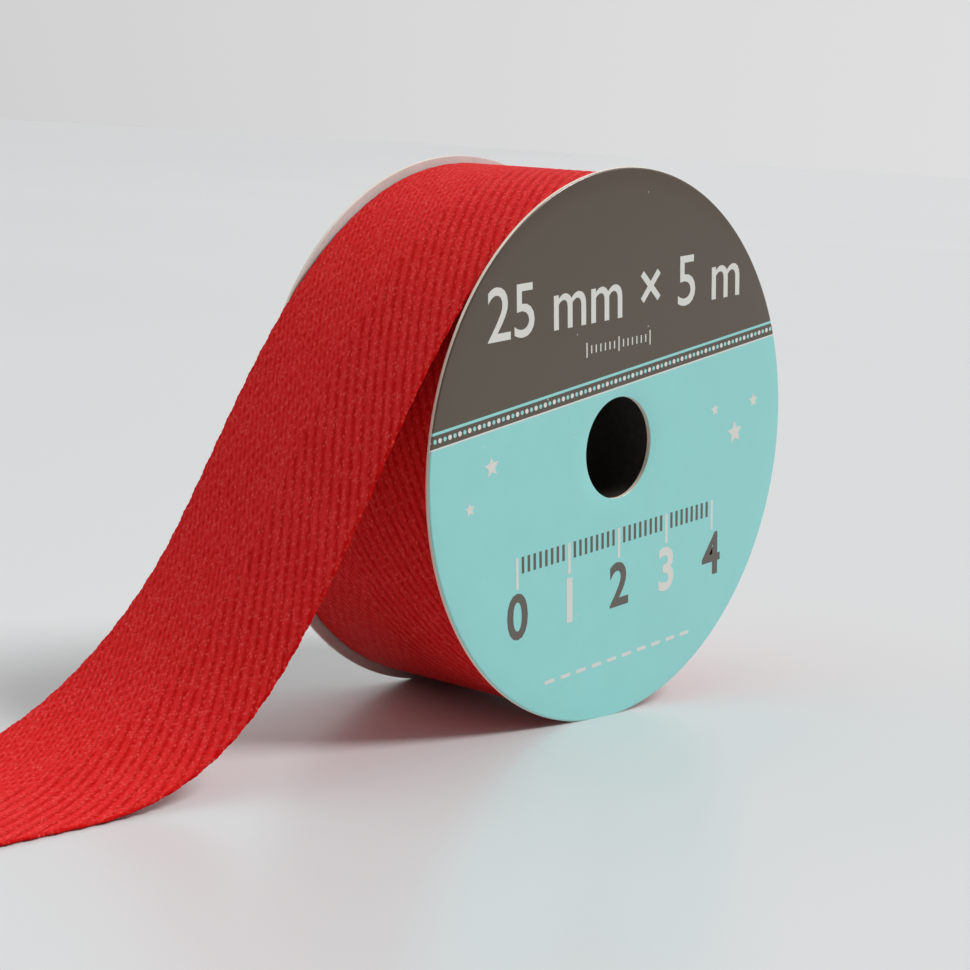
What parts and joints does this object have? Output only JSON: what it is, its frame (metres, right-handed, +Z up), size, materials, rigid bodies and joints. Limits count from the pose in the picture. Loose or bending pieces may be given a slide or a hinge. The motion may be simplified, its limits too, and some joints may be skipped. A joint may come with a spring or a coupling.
{
  "type": "roll of twill ribbon on a card spool",
  "caption": "Roll of red twill ribbon on a card spool that stands on its rim, its loose end leaving the top and lying on the table.",
  "frame": {"origin": "on the table, under the middle of the whole part, loose end included", "axes": "+X from the loose end towards the spool, +Y along the spool's axis from the printed disc to the plain one, +Z up"},
  "size_m": [0.1288, 0.0266, 0.0637],
  "materials": {
    "printed_card": "satin",
    "plain_card": "matte",
    "dark_tube": "matte",
    "twill": "matte"
  },
  "bodies": {
    "root": {"front_disc": "printed_card", "back_disc": "plain_card", "core_tube": "dark_tube", "wound_ribbon": "twill", "loose_end": "twill"}
  },
  "joints": []
}
